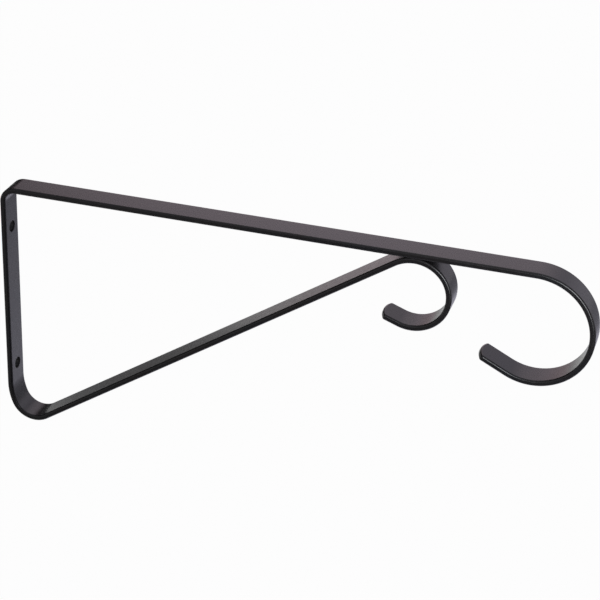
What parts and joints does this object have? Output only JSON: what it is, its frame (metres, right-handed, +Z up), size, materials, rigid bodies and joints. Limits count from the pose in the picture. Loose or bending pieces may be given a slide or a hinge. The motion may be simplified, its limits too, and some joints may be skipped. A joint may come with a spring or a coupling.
{
  "type": "planter bracket",
  "caption": "Wall bracket bent from one flat steel bar: level arm with a large end hook, upright back with screw holes, and a slanted brace that curls into a small hook under the arm.",
  "frame": {"origin": "midway between the two screw holes, on the back's wall face and on the bar's middle plane", "axes": "+X out from the wall along the arm, +Y across the bar's width, +Z up"},
  "size_m": [0.3592, 0.017, 0.1575],
  "materials": {
    "black_coating": "satin black powder coat"
  },
  "bodies": {
    "root": {"planter_bracket": "black_coating"}
  },
  "joints": []
}
